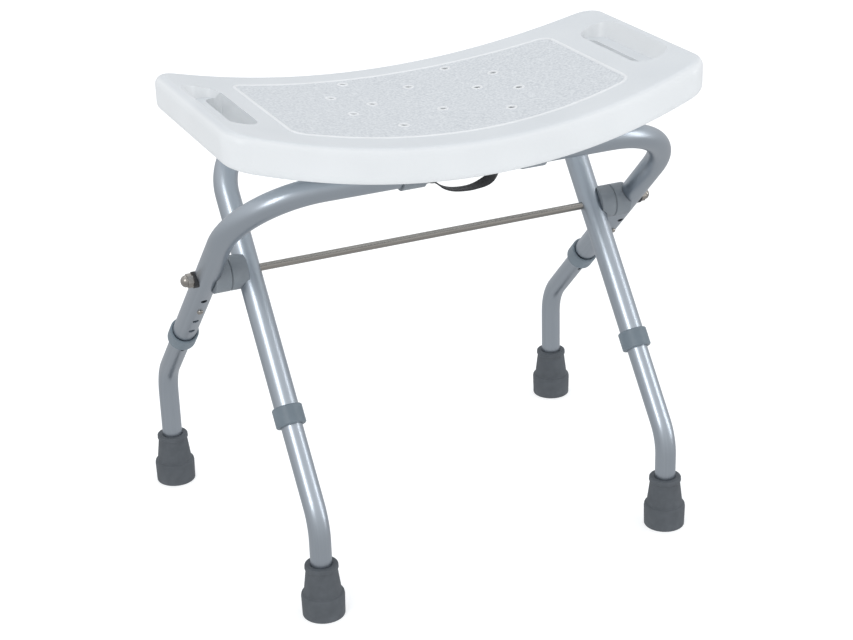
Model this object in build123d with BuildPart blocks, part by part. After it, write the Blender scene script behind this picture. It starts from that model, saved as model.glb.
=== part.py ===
from build123d import *
from math import cos, radians, sin, sqrt
import os

# Folding shower stool with a dished seat on two crossed aluminium frames.
# The outer frame carries the front bar and the rear feet, the inner frame the
# rear bar and the front feet. Both turn on one cross rod. The seat turns on the
# rear bar and clips over the front bar.
# Millimetres and degrees. +Z is up, the front is -Y, and the origin is on the
# floor, midway between the four feet.

# Frames
pivot_height = 316.0  # centre of the cross rod above the floor
bar_rise = 116.0  # both crossbars above the cross rod
inner_tilt = 38.0  # inner frame leans back from upright
outer_tilt = -44.7  # outer frame leans forwards
inner_half_width = 199.6
outer_half_width = 244.8
inner_bend_radius = 65.0
outer_bend_radius = 88.0
leg_bend_below_rim = 123.0  # collar rim to the bend of a lower leg, along the leg
leg_bend_radius = 58.0

# Tubes
upper_tube_od = 25.4
upper_tube_wall = 1.2
lower_tube_od = 22.2
lower_tube_wall = 1.2
tube_in_collar = 12.0  # upper tube end inside its collar

# Height adjustment
outer_collar_reach = 134.0  # cross rod to the rim of a rear collar
inner_collar_reach = 148.0  # cross rod to the rim of a front collar
hole_pitch = 25.4
holes_below_button = 2  # steps left to lengthen a leg
holes_above_button = 1  # steps left to shorten it
rim_to_button = 3 * hole_pitch
leg_above_button = 23.0  # lower tube above its button
spare_hole_below_rim = 30.0
spare_hole_radius = 2.5

# Collars
collar_radius = 15.6
collar_length = 20.0
rim_recess = 0.7
rim_recess_depth = 1.2
edge_break = 1.0

# Cross rod and its fittings
rod_radius = 4.0
rod_chamfer = 0.5
running_fit = 0.08  # radial room where one part turns or slides on another
spacer_radius = 18.0
spacer_seam = 0.3
spacer_wrap = 7.5  # how far a spacer reaches round its tube
spacer_fit = 0.2
washer_radius = 8.5
washer_land = 2.0
washer_wrap = 3.2
washer_fit = 0.1
nut_radius = 7.5  # across corners
nut_height = 6.0
nut_dome_radius = 6.2
nut_dome_fillet = 5.6
nut_fit = 0.02
rod_in_nut = 9.0
rod_end_gap = 0.5

# Feet
foot_height = 58.0
foot_base_radius = 22.3
foot_base_height = 25.0
foot_base_fillet = 2.5
foot_skirt_radius = 19.3
foot_skirt_lap = 3.0  # skirt started inside the base
foot_rim_radius = 16.4
foot_rim_fillet = 1.5
foot_floor = 9.0  # rubber under the tube
foot_ring_outer = 18.0
foot_ring_inner = 14.5
foot_ring_depth = 1.5
foot_washer_thickness = 2.0
foot_washer_gap = 0.3

# Snap buttons
button_radius = 3.3
button_fit = 0.1
button_stand = 2.6  # above the upper tube
button_fillet = 2.3
flange_radius = 4.2
flange_thickness = 1.0
flange_gap = 0.3
spring_thickness = 0.8
spring_width = 6.0
spring_end = 5.2  # arm ends below the button
spring_knee = 9.2  # arms start to close above the button
spring_fold = 19.0  # fold above the button
spring_bend = 2.5
spring_gap = 0.1

# Seat
seat_half_length = 258.0
seat_half_depth = 145.0  # at the middle
seat_end_half_depth = 121.0
seat_corner_radius = 30.0
seat_middle_top = 470.0
seat_shift = -9.0  # seat centre from midway between the bars
seat_thickness = 37.0
seat_dish_radius = 825.0
seat_edge_radius = 9.0
seat_wall = 3.0

# Seat openings
grip_slot_offset = 213.0  # slot centre from the middle of the seat
grip_slot_width = 17.0
grip_slot_length = 118.0
grip_scoop_offset = 222.5
grip_scoop_width = 30.0  # at its floor
grip_scoop_length = 132.0
grip_scoop_depth = 11.0
grip_scoop_slope = 22.0
drain_radius = 4.5
drain_shift = 12.0  # middle of the drain pattern behind the seat's centre
drain_mid_rows = 43.0
drain_near_column = 59.0
drain_near_rows = 79.0
drain_far_column = 92.0
drain_far_rows = 30.0

# Seat fittings
bar_channel_gap = 0.6
saddle_offset = 66.0  # clips and saddles from the middle of the seat
saddle_width = 24.0
saddle_wall = 2.6
saddle_ear = 8.0
saddle_ear_thickness = 3.0
ear_rise = 5.0  # top of the ears above the bar's centre
pocket_gap = 0.4
pad_height = 10.0  # solid plastic above each pocket
screw_radius = 2.0
screw_fit = 0.05
screw_head_radius = 3.6
screw_head_height = 1.8
screw_head_fillet = 1.2
screw_length = 10.0
screw_end_gap = 1.0
screw_spacing = 12.0
clip_hook = 2.0  # rear lip of the clip below the bar's centre

# Pull strap
strap_left_end = -50.0  # where the loop leaves the seat
strap_right_end = 28.0
strap_width = 10.0
strap_thickness = 1.6
strap_drop = 19.0
strap_slope = 0.35
strap_ahead = 32.0  # strap in front of the front bar
strap_tab = 14.0
strap_seat_gap = 0.2

# Fold: the frames close like scissors while the seat tips up on the rear bar
fold_angle = 72.0
seat_turn = 95.0
clearing_angle = 7.0  # front bar is clear of the seat from here on

# Derived sizes
upper_tube_radius = upper_tube_od / 2
lower_tube_radius = lower_tube_od / 2
lower_bore_radius = lower_tube_radius - lower_tube_wall
inner_reach = bar_rise / cos(radians(inner_tilt))  # cross rod to rear bar, along the leg
outer_reach = bar_rise / cos(radians(outer_tilt))  # cross rod to front bar
front_foot_run = (inner_collar_reach + leg_bend_below_rim) * sin(radians(inner_tilt))
rear_foot_run = (outer_collar_reach + leg_bend_below_rim) * sin(radians(-outer_tilt))
pivot_y = (front_foot_run - rear_foot_run) / 2
bar_height = pivot_height + bar_rise
front_bar_y = pivot_y + outer_reach * sin(radians(outer_tilt))
rear_bar_y = pivot_y + inner_reach * sin(radians(inner_tilt))
seat_y = (front_bar_y + rear_bar_y) / 2 + seat_shift
pocket_floor = bar_height + ear_rise
button_hole_radius = button_radius + button_fit
flange_top = sqrt(lower_bore_radius**2 - flange_radius**2) - flange_gap
pin_top = upper_tube_radius + button_stand
front_arm = flange_top - flange_thickness - spring_thickness / 2 - spring_gap
spring_back = sqrt(lower_bore_radius**2 - (spring_width / 2) ** 2) - flange_gap
back_arm = spring_thickness / 2 - spring_back


def frame_plane(tilt):
    """Plane of one frame: its origin on the cross rod, its y axis up the legs."""
    return Plane(
        origin=(0, pivot_y, pivot_height),
        x_dir=(1, 0, 0),
        z_dir=(0, -cos(radians(tilt)), sin(radians(tilt))),
    )


def leg_axis(side_x, tilt, reach):
    """Plane across one leg: its origin on the leg's axis, its z axis down the leg."""
    down = Vector(0, -sin(radians(tilt)), -cos(radians(tilt)))
    return Plane(
        origin=Vector(side_x, pivot_y, pivot_height) + down * reach,
        x_dir=(1, 0, 0),
        z_dir=down,
    )


def across_rod(side, x):
    """Plane across the cross rod at x on one side, its z axis pointing outwards."""
    return Plane(origin=(side * x, pivot_y, pivot_height), x_dir=(0, 1, 0), z_dir=(side, 0, 0))


def seat_rise(x):
    """Height of the seat's dish at x above its middle."""
    return seat_dish_radius - sqrt(seat_dish_radius**2 - x**2)


def export(piece, name):
    """Label one finished piece and write it to its own file."""
    piece.part.label = name
    export_step(piece.part, f"parts/{name}.step")


os.makedirs("parts", exist_ok=True)

inner_plane = frame_plane(inner_tilt)
outer_plane = frame_plane(outer_tilt)

# Each leg: name, which frame, x of its axis, tilt, collar reach, and the side
# of the frame's plane that its buttons face, which is always the underside
legs = [
    ("front_left", inner_plane, -inner_half_width, inner_tilt, inner_collar_reach, -1),
    ("front_right", inner_plane, inner_half_width, inner_tilt, inner_collar_reach, -1),
    ("rear_left", outer_plane, -outer_half_width, outer_tilt, outer_collar_reach, 1),
    ("rear_right", outer_plane, outer_half_width, outer_tilt, outer_collar_reach, 1),
]

# ---------------------------------------------------------------- frame tubes
frames = [
    ("inner_frame_tube", inner_plane, inner_half_width, inner_reach,
     inner_bend_radius, inner_collar_reach, -1),
    ("outer_frame_tube", outer_plane, outer_half_width, outer_reach,
     outer_bend_radius, outer_collar_reach, 1),
]
for name, plane, half_width, reach, bend_radius, collar_reach, face in frames:
    tube_end = collar_reach + tube_in_collar
    button_reach = collar_reach - rim_to_button
    hole_reaches = [
        button_reach + step * hole_pitch
        for step in range(-holes_above_button, holes_below_button + 1)
    ]
    with BuildPart() as frame_tube:
        with BuildLine(plane) as tube_path:
            FilletPolyline(
                (-half_width, -tube_end),
                (-half_width, reach),
                (half_width, reach),
                (half_width, -tube_end),
                radius=bend_radius,
            )
        with BuildSketch(tube_path.line ^ 0):
            Circle(upper_tube_radius)
            Circle(upper_tube_radius - upper_tube_wall, mode=Mode.SUBTRACT)
        sweep(path=tube_path.line)
        # Cross rod holes through both legs
        with BuildSketch(Plane.YZ):
            with Locations((pivot_y, pivot_height)):
                Circle(rod_radius + running_fit)
        extrude(amount=half_width + upper_tube_od, both=True, mode=Mode.SUBTRACT)
        # Rows of button holes in the underside of both legs
        with BuildSketch(plane):
            with Locations([(x, -r) for x in (-half_width, half_width) for r in hole_reaches]):
                Circle(button_hole_radius)
        extrude(amount=face * upper_tube_od, mode=Mode.SUBTRACT)
    export(frame_tube, name)

# ------------------------------------------------------- legs, one at a time
for name, plane, side_x, tilt, collar_reach, face in legs:
    button_reach = collar_reach - rim_to_button
    leg_top = leg_axis(side_x, tilt, button_reach - leg_above_button).origin
    leg_bend = leg_axis(side_x, tilt, collar_reach + leg_bend_below_rim).origin
    leg_down = leg_axis(side_x, tilt, button_reach).z_dir
    outward = plane.z_dir * face

    # Collar: a sleeve on the upper tube with a lip that guides the lower one
    rim_plane = leg_axis(side_x, tilt, collar_reach)
    with BuildPart() as collar:
        with BuildSketch(rim_plane):
            Circle(collar_radius)
        extrude(amount=collar_length)
        chamfer(collar.edges().filter_by(GeomType.CIRCLE), edge_break)
        with BuildSketch(rim_plane):
            Circle(upper_tube_radius + rim_recess)
        extrude(amount=rim_recess_depth, mode=Mode.SUBTRACT)
        with BuildSketch(rim_plane):
            Circle(upper_tube_radius)
        extrude(amount=tube_in_collar, mode=Mode.SUBTRACT)
        with BuildSketch(rim_plane):
            Circle(lower_tube_radius + running_fit)
        extrude(amount=collar_length, mode=Mode.SUBTRACT)
    export(collar, f"collar_{name}")

    # Lower leg: slides in the upper tube, then bends to stand upright
    with BuildPart() as lower_leg:
        with BuildLine(Plane.YZ.offset(side_x)) as leg_path:
            FilletPolyline(
                (leg_top.Y, leg_top.Z),
                (leg_bend.Y, leg_bend.Z),
                (leg_bend.Y, foot_floor + foot_washer_thickness),
                radius=leg_bend_radius,
            )
        with BuildSketch(leg_path.line ^ 0):
            Circle(lower_tube_radius)
            Circle(lower_bore_radius, mode=Mode.SUBTRACT)
        sweep(path=leg_path.line)
        with BuildSketch(plane):
            with Locations((side_x, -button_reach)):
                Circle(button_hole_radius)
        extrude(amount=face * upper_tube_od, mode=Mode.SUBTRACT)
        with BuildSketch(plane):
            with Locations((side_x, -collar_reach - spare_hole_below_rim)):
                Circle(spare_hole_radius)
        extrude(amount=face * upper_tube_od, mode=Mode.SUBTRACT)
    export(lower_leg, f"lower_leg_{name}")

    # Snap button: domed pin with a flange that stops it inside the lower tube
    button_centre = leg_axis(side_x, tilt, button_reach).origin
    button_plane = Plane(origin=button_centre, x_dir=(1, 0, 0), z_dir=outward)
    with BuildPart() as button:
        with BuildSketch(button_plane.offset(flange_top)):
            Circle(button_radius)
        extrude(amount=pin_top - flange_top)
        fillet(button.edges().sort_by(Axis(button_centre, outward))[-1], button_fillet)
        with BuildSketch(button_plane.offset(flange_top - flange_thickness)):
            Circle(flange_radius)
        extrude(amount=flange_thickness)
    export(button, f"snap_button_{name}")

    # V spring that pushes the button out, folded from one strip of steel
    spring_plane = Plane(
        origin=button_centre, x_dir=leg_down, z_dir=leg_down.cross(outward)
    )
    with BuildPart() as spring:
        with BuildSketch(spring_plane):
            with BuildLine():
                FilletPolyline(
                    (spring_end, front_arm),
                    (-spring_knee, front_arm),
                    (-spring_fold, (front_arm + back_arm) / 2),
                    (-spring_knee, back_arm),
                    (spring_end, back_arm),
                    radius=spring_bend,
                )
            trace(line_width=spring_thickness)
        extrude(amount=spring_width / 2, both=True)
    export(spring, f"snap_spring_{name}")

    # Rubber foot over the end of the lower leg, with a steel washer inside
    foot_plane = Plane(origin=(side_x, leg_bend.Y, 0))
    with BuildPart() as foot:
        with BuildSketch(foot_plane):
            Circle(foot_base_radius)
        extrude(amount=foot_base_height)
        fillet(foot.edges().filter_by(GeomType.CIRCLE).sort_by(Axis.Z)[-1], foot_base_fillet)
        with BuildSketch(foot_plane.offset(foot_base_height - foot_skirt_lap)):
            Circle(foot_skirt_radius)
        with BuildSketch(foot_plane.offset(foot_height)):
            Circle(foot_rim_radius)
        loft()
        fillet(foot.edges().filter_by(GeomType.CIRCLE).sort_by(Axis.Z)[-1], foot_rim_fillet)
        with BuildSketch(foot_plane.offset(foot_floor)):
            Circle(lower_tube_radius)
        extrude(amount=foot_height, mode=Mode.SUBTRACT)
        with BuildSketch(foot_plane):
            Circle(foot_ring_outer)
            Circle(foot_ring_inner, mode=Mode.SUBTRACT)
        extrude(amount=foot_ring_depth, mode=Mode.SUBTRACT)
    export(foot, f"rubber_foot_{name}")

    with BuildPart() as foot_washer:
        with BuildSketch(foot_plane.offset(foot_floor)):
            Circle(lower_tube_radius - foot_washer_gap)
        extrude(amount=foot_washer_thickness)
    export(foot_washer, f"foot_washer_{name}")

# ------------------------------------------------------ cross rod and fittings
rod_end = outer_half_width + upper_tube_radius + washer_land + rod_in_nut
with BuildPart() as pivot_rod:
    with BuildSketch(Plane.YZ):
        with Locations((pivot_y, pivot_height)):
            Circle(rod_radius)
    extrude(amount=rod_end, both=True)
    chamfer(pivot_rod.edges().filter_by(GeomType.CIRCLE), rod_chamfer)
export(pivot_rod, "pivot_rod")

spacer_middle = (inner_half_width + outer_half_width) / 2
inner_spacer_start = inner_half_width + upper_tube_radius - spacer_wrap
outer_spacer_end = outer_half_width - upper_tube_radius + spacer_wrap
half_seam = spacer_seam / 2
washer_face = outer_half_width + upper_tube_radius + washer_land

# Each spacer half: name, its tube's x and tilt, its tube end, its seam end
spacer_halves = [
    ("inner", inner_half_width, inner_tilt, inner_spacer_start, spacer_middle - half_seam),
    ("outer", outer_half_width, outer_tilt, outer_spacer_end, spacer_middle + half_seam),
]
for side, side_name in ((-1, "left"), (1, "right")):
    # Two half spacers, each saddled on its own tube, meet at a seam between the legs
    for half_name, tube_x, tube_tilt, tube_end_x, seam_x in spacer_halves:
        with BuildPart() as spacer:
            with BuildSketch(across_rod(side, seam_x)):
                Circle(spacer_radius)
            extrude(amount=tube_end_x - seam_x)
            chamfer(spacer.faces().sort_by_distance((side * seam_x, pivot_y, pivot_height))[0]
                    .edges(), edge_break)
            with BuildSketch(leg_axis(side * tube_x, tube_tilt, 0)):
                Circle(upper_tube_radius + spacer_fit)
            extrude(amount=2 * spacer_radius, both=True, mode=Mode.SUBTRACT)
            with BuildSketch(across_rod(side, seam_x)):
                Circle(rod_radius + running_fit)
            extrude(amount=tube_end_x - seam_x, mode=Mode.SUBTRACT)
        export(spacer, f"pivot_spacer_{half_name}_{side_name}")

    # Saddle washer: flat outside for the nut, hollowed inside to sit on the tube
    with BuildPart() as washer:
        with BuildSketch(across_rod(side, washer_face)):
            Circle(washer_radius)
            Circle(rod_radius + running_fit, mode=Mode.SUBTRACT)
        extrude(amount=-washer_land - washer_wrap)
        with BuildSketch(leg_axis(side * outer_half_width, outer_tilt, 0)):
            Circle(upper_tube_radius + washer_fit)
        extrude(amount=2 * washer_radius, both=True, mode=Mode.SUBTRACT)
    export(washer, f"saddle_washer_{side_name}")

    # Dome nut on the end of the rod
    with BuildPart() as nut:
        with BuildSketch(across_rod(side, washer_face + nut_height)):
            Circle(nut_dome_radius)
        extrude(amount=nut_dome_radius)
        fillet(nut.edges().sort_by(Axis.X)[-1 if side > 0 else 0], nut_dome_fillet)
        with BuildSketch(across_rod(side, washer_face)):
            RegularPolygon(nut_radius, 6)
        extrude(amount=nut_height)
        with BuildSketch(across_rod(side, washer_face)):
            Circle(rod_radius + nut_fit)
        extrude(amount=rod_in_nut + rod_end_gap, mode=Mode.SUBTRACT)
    export(nut, f"dome_nut_{side_name}")


# ----------------------------------------------------------------------- seat
def dished_plate(half_length, half_depth, end_half_depth, corner, top, thickness, edge):
    """Plate with bowed long sides and rounded corners, hollowed along its length."""
    rise = seat_rise(half_length + corner)
    reach = half_length + corner
    with BuildPart() as plate:
        with BuildSketch(Plane.XY.offset(top - 2 * thickness)):
            with BuildLine():
                Line((-half_length, seat_y + end_half_depth), (-half_length, seat_y - end_half_depth))
                ThreePointArc((-half_length, seat_y - end_half_depth), (0, seat_y - half_depth),
                              (half_length, seat_y - end_half_depth))
                Line((half_length, seat_y - end_half_depth), (half_length, seat_y + end_half_depth))
                ThreePointArc((half_length, seat_y + end_half_depth), (0, seat_y + half_depth),
                              (-half_length, seat_y + end_half_depth))
            make_face()
            fillet(vertices(), corner)
        extrude(amount=4 * thickness + rise)
        with BuildSketch(Plane.XZ.offset(-seat_y)):
            with BuildLine():
                ThreePointArc((-reach, top + rise), (0, top), (reach, top + rise))
                Line((reach, top + rise), (reach, top + rise - thickness))
                ThreePointArc((reach, top + rise - thickness), (0, top - thickness),
                              (-reach, top + rise - thickness))
                Line((-reach, top + rise - thickness), (-reach, top + rise))
            make_face()
        extrude(amount=2 * half_depth, both=True, mode=Mode.INTERSECT)
        top_face = plate.faces().filter_by(lambda f: f.normal_at().Z > 0.5)
        bottom_face = plate.faces().filter_by(lambda f: f.normal_at().Z < -0.5)
        fillet(top_face.edges() + bottom_face.edges(), edge)
    return plate.part


def front_bar_in_seat(turn):
    """Front bar's centre, seen from the seat, after the frames close by turn degrees."""
    bar_tilt = radians(outer_tilt + turn)
    y = pivot_y + outer_reach * sin(bar_tilt) - rear_bar_y
    z = pivot_height + outer_reach * cos(bar_tilt) - bar_height
    tip = radians(turn * seat_turn / fold_angle)
    return (
        rear_bar_y + y * cos(tip) - z * sin(tip),
        bar_height + y * sin(tip) + z * cos(tip),
    )


seat_outside = dished_plate(seat_half_length, seat_half_depth, seat_end_half_depth,
                            seat_corner_radius, seat_middle_top, seat_thickness,
                            seat_edge_radius)
seat_hollow = dished_plate(seat_half_length - seat_wall, seat_half_depth - seat_wall,
                           seat_end_half_depth - seat_wall, seat_corner_radius - seat_wall,
                           seat_middle_top - seat_wall, seat_thickness - 2 * seat_wall,
                           seat_edge_radius - seat_wall)

saddle_bore = upper_tube_radius + running_fit
saddle_reach = saddle_bore + saddle_wall
ear_tip = saddle_reach + saddle_ear
channel_radius = upper_tube_radius + bar_channel_gap
saddle_places = [(side * saddle_offset, y) for y in (front_bar_y, rear_bar_y) for side in (-1, 1)]
head_under_ear = pocket_floor - saddle_ear_thickness
clip_screws = [
    (side * saddle_offset + step, front_bar_y - saddle_reach - saddle_ear / 2, head_under_ear)
    for side in (-1, 1)
    for step in (-screw_spacing / 2, screw_spacing / 2)
]
saddle_screws = [
    (side * saddle_offset, rear_bar_y + way * (saddle_reach + saddle_ear / 2), head_under_ear)
    for side in (-1, 1)
    for way in (-1, 1)
]
strap_y = front_bar_y - strap_ahead
seat_middle_bottom = seat_middle_top - seat_thickness
left_tab_height = seat_middle_bottom + seat_rise(strap_left_end) - strap_seat_gap - strap_thickness
right_tab_height = (
    seat_middle_bottom + seat_rise(strap_right_end) - strap_seat_gap - strap_thickness
)
strap_screws = [
    (strap_left_end - strap_tab / 2, strap_y, left_tab_height),
    (strap_right_end + strap_tab / 2, strap_y, right_tab_height),
]
screw_groups = [
    ("front_clip_screws", clip_screws),
    ("rear_saddle_screws", saddle_screws),
    ("strap_screws", strap_screws),
]
drains = (
    [(0, y) for y in (-drain_mid_rows, drain_mid_rows)]
    + [(x, y) for x in (-drain_near_column, drain_near_column)
       for y in (-drain_near_rows, 0, drain_near_rows)]
    + [(x, y) for x in (-drain_far_column, drain_far_column)
       for y in (-drain_far_rows, drain_far_rows)]
)
drain_places = [(x, seat_y + drain_shift + y) for x, y in drains]
grip_slots = [(side * grip_slot_offset, seat_y) for side in (-1, 1)]
grip_scoops = [(side * grip_scoop_offset, seat_y) for side in (-1, 1)]
floor_plane = Plane.XY.offset(seat_middle_top - 2 * seat_thickness)
full_height = 5 * seat_thickness
scoop_floor = seat_middle_top + seat_rise(grip_scoop_offset) - grip_scoop_depth


def bar_channels(radius):
    """Round channel for the rear bar, and one for the front bar that opens on its way out."""
    with BuildPart() as channels:
        with BuildSketch(Plane.YZ):
            with Locations((rear_bar_y, bar_height)):
                Circle(radius)
        extrude(amount=seat_half_length + seat_wall, both=True)
        with BuildSketch(Plane.YZ):
            with Locations(front_bar_in_seat(0), front_bar_in_seat(clearing_angle)):
                Circle(radius)
            make_hull()
        extrude(amount=seat_half_length + seat_wall, both=True)
    return channels.part


# Hollow left by blow moulding, kept off every channel, pocket, slot and drain
channels_and_walls = bar_channels(channel_radius + seat_wall)
with BuildPart() as hollow:
    add(seat_hollow)
    add(channels_and_walls, mode=Mode.SUBTRACT)
    with BuildSketch(floor_plane):
        with Locations(drain_places):
            Circle(drain_radius + seat_wall)
        with Locations([(x, y) for x, y, _ in strap_screws]):
            Circle(screw_radius + seat_wall)
        with Locations(grip_slots):
            SlotOverall(grip_slot_length + 2 * seat_wall, grip_slot_width + 2 * seat_wall,
                        rotation=90)
    extrude(amount=full_height, mode=Mode.SUBTRACT)
    with BuildSketch(floor_plane):
        with Locations(saddle_places):
            Rectangle(saddle_width + 4 * seat_wall, 2 * ear_tip + 2 * seat_wall)
    extrude(amount=pocket_floor + pad_height - floor_plane.origin.Z, mode=Mode.SUBTRACT)
    with BuildSketch(Plane.XY.offset(scoop_floor - seat_wall)):
        with Locations(grip_scoops):
            SlotOverall(grip_scoop_length + 2 * seat_wall, grip_scoop_width + 2 * seat_wall,
                        rotation=90)
    extrude(amount=full_height, taper=-grip_scoop_slope, mode=Mode.SUBTRACT)

seat_channels = bar_channels(channel_radius)
with BuildPart() as seat_shell:
    add(seat_outside)
    add(hollow.part, mode=Mode.SUBTRACT)
    add(seat_channels, mode=Mode.SUBTRACT)
    # Drains and grip slots go right through
    with BuildSketch(floor_plane):
        with Locations(drain_places):
            Circle(drain_radius)
        with Locations(grip_slots):
            SlotOverall(grip_slot_length, grip_slot_width, rotation=90)
    extrude(amount=full_height, mode=Mode.SUBTRACT)
    # Finger scoops round the slots
    with BuildSketch(Plane.XY.offset(scoop_floor)):
        with Locations(grip_scoops):
            SlotOverall(grip_scoop_length, grip_scoop_width, rotation=90)
    extrude(amount=full_height, taper=-grip_scoop_slope, mode=Mode.SUBTRACT)
    # Flat pockets for the clips and saddles
    with BuildSketch(floor_plane):
        with Locations(saddle_places):
            Rectangle(saddle_width + 2 * pocket_gap, 2 * ear_tip + 2 * pocket_gap)
    extrude(amount=pocket_floor - floor_plane.origin.Z, mode=Mode.SUBTRACT)
    # Screw holes
    for x, y, seat_of_head in clip_screws + saddle_screws + strap_screws:
        with BuildSketch(Plane.XY.offset(seat_of_head)):
            with Locations((x, y)):
                Circle(screw_radius + screw_fit)
        extrude(amount=screw_length, mode=Mode.SUBTRACT)
export(seat_shell, "seat_shell")

# Saddles that hinge the seat on the rear bar, and clips that hook under the front bar
for side, side_name in ((-1, "left"), (1, "right")):
    middle = Plane.YZ.offset(side * saddle_offset)
    with BuildPart() as saddle:
        with BuildSketch(middle):
            with Locations((rear_bar_y, bar_height)):
                Circle(saddle_reach)
            with Locations((rear_bar_y, pocket_floor - saddle_ear_thickness / 2)):
                Rectangle(2 * ear_tip, saddle_ear_thickness)
            with Locations((rear_bar_y, bar_height)):
                Circle(saddle_bore, mode=Mode.SUBTRACT)
            with Locations((rear_bar_y, pocket_floor + saddle_reach)):
                Rectangle(2 * ear_tip, 2 * saddle_reach, mode=Mode.SUBTRACT)
        extrude(amount=saddle_width / 2, both=True)
        with BuildSketch(floor_plane):
            with Locations([(x, y) for x, y, _ in saddle_screws if x * side > 0]):
                Circle(screw_radius + screw_fit)
        extrude(amount=full_height, mode=Mode.SUBTRACT)
    export(saddle, f"rear_saddle_{side_name}")

    with BuildPart() as clip:
        with BuildSketch(middle):
            with Locations((front_bar_y, bar_height)):
                Circle(saddle_reach)
            with Locations((front_bar_y - ear_tip / 2, pocket_floor - saddle_ear_thickness / 2)):
                Rectangle(ear_tip, saddle_ear_thickness)
            with Locations((front_bar_y, bar_height)):
                Circle(saddle_bore, mode=Mode.SUBTRACT)
            with Locations((front_bar_y, pocket_floor + saddle_reach)):
                Rectangle(2 * ear_tip, 2 * saddle_reach, mode=Mode.SUBTRACT)
            with Locations((front_bar_y + ear_tip / 2, bar_height - clip_hook + saddle_reach)):
                Rectangle(ear_tip, 2 * saddle_reach, mode=Mode.SUBTRACT)
        extrude(amount=saddle_width / 2, both=True)
        with BuildSketch(floor_plane):
            with Locations([(x, y) for x, y, _ in clip_screws if x * side > 0]):
                Circle(screw_radius + screw_fit)
        extrude(amount=full_height, mode=Mode.SUBTRACT)
    export(clip, f"front_clip_{side_name}")

# Pan-head screws, one group for each fitting
for name, places in screw_groups:
    with BuildPart() as screws:
        for x, y, seat_of_head in places:
            with BuildSketch(Plane.XY.offset(seat_of_head)):
                with Locations((x, y)):
                    Circle(screw_head_radius)
            extrude(amount=-screw_head_height)
            rim = screws.edges(Select.LAST).filter_by(GeomType.CIRCLE).sort_by(Axis.Z)[0]
            fillet(rim, screw_head_fillet)
            with BuildSketch(Plane.XY.offset(seat_of_head)):
                with Locations((x, y)):
                    Circle(screw_radius)
            extrude(amount=screw_length - screw_end_gap)
    export(screws, name)

# Webbing pull strap, hung in a loop between two tabs under the front of the seat
left_line = left_tab_height + strap_thickness / 2
right_line = right_tab_height + strap_thickness / 2
strap_middle = (strap_left_end + strap_right_end) / 2
with BuildPart() as pull_strap:
    with BuildSketch(Plane.XZ.offset(-strap_y)):
        with BuildLine():
            Line((strap_left_end - strap_tab, left_line), (strap_left_end, left_line))
            Spline((strap_left_end, left_line), (strap_middle, right_line - strap_drop),
                   (strap_right_end, right_line),
                   tangents=((1, -strap_slope), (1, strap_slope)))
            Line((strap_right_end, right_line), (strap_right_end + strap_tab, right_line))
        trace(line_width=strap_thickness)
    extrude(amount=strap_width / 2, both=True)
    with BuildSketch(floor_plane):
        with Locations([(x, y) for x, y, _ in strap_screws]):
            Circle(screw_radius + screw_fit)
    extrude(amount=full_height, mode=Mode.SUBTRACT)
export(pull_strap, "pull_strap")
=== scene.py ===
"""Looks of a folding shower stool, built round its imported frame.

The CAD nodes whose shape is right keep it and get real finishes. The rubber feet and the
webbing pull strap are built new, and the seat gets its mat bead and drain rims.
"""

import logging
import math
from dataclasses import dataclass, field
from enum import Enum
from typing import Any, Sequence

import bpy
import bmesh
from mathutils import Matrix, Vector


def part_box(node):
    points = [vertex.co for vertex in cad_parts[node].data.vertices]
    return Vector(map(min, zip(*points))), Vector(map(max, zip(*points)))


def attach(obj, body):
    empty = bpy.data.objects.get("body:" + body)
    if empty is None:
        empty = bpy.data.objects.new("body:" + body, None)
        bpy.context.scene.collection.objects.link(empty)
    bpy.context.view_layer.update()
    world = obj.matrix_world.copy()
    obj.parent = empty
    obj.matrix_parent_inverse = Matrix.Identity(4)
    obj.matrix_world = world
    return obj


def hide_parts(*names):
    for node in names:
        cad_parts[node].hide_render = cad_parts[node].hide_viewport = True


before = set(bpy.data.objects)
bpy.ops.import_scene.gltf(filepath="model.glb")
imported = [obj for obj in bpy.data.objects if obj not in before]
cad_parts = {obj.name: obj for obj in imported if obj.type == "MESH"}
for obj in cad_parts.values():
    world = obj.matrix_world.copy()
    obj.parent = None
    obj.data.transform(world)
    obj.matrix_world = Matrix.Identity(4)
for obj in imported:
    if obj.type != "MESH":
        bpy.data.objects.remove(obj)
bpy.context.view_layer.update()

LOG = logging.getLogger("shower_stool")
MM = 0.001
Node = bpy.types.Node
Socket = bpy.types.NodeSocket
Tree = bpy.types.NodeTree

MATH = "ShaderNodeMath"
MAP_RANGE = "ShaderNodeMapRange"
NOISE = "ShaderNodeTexNoise"
MIX = "ShaderNodeMix"
BUMP = "ShaderNodeBump"
SPLIT = "ShaderNodeSeparateXYZ"
JOIN = "ShaderNodeCombineXYZ"
COORDINATES = "ShaderNodeTexCoord"
COLOURS = {"data_type": "RGBA"}
MIXED_COLOUR = 2  # a colour mix takes its colours on inputs 6 and 7


class Slot(Enum):
    """Material slots of the record."""

    SEAT = "seat_plastic"
    TUBE = "aluminium_tube"
    COLLAR = "collar_plastic"
    FITTING = "fitting_plastic"
    FOOT = "foot_rubber"
    STEEL = "bright_steel"
    WASHER = "dark_washer"
    STRAP = "strap_webbing"


class Corner(Enum):
    """The four legs, as the nodes and bodies name them."""

    FRONT_LEFT = "front_left"
    FRONT_RIGHT = "front_right"
    REAR_LEFT = "rear_left"
    REAR_RIGHT = "rear_right"


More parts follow.
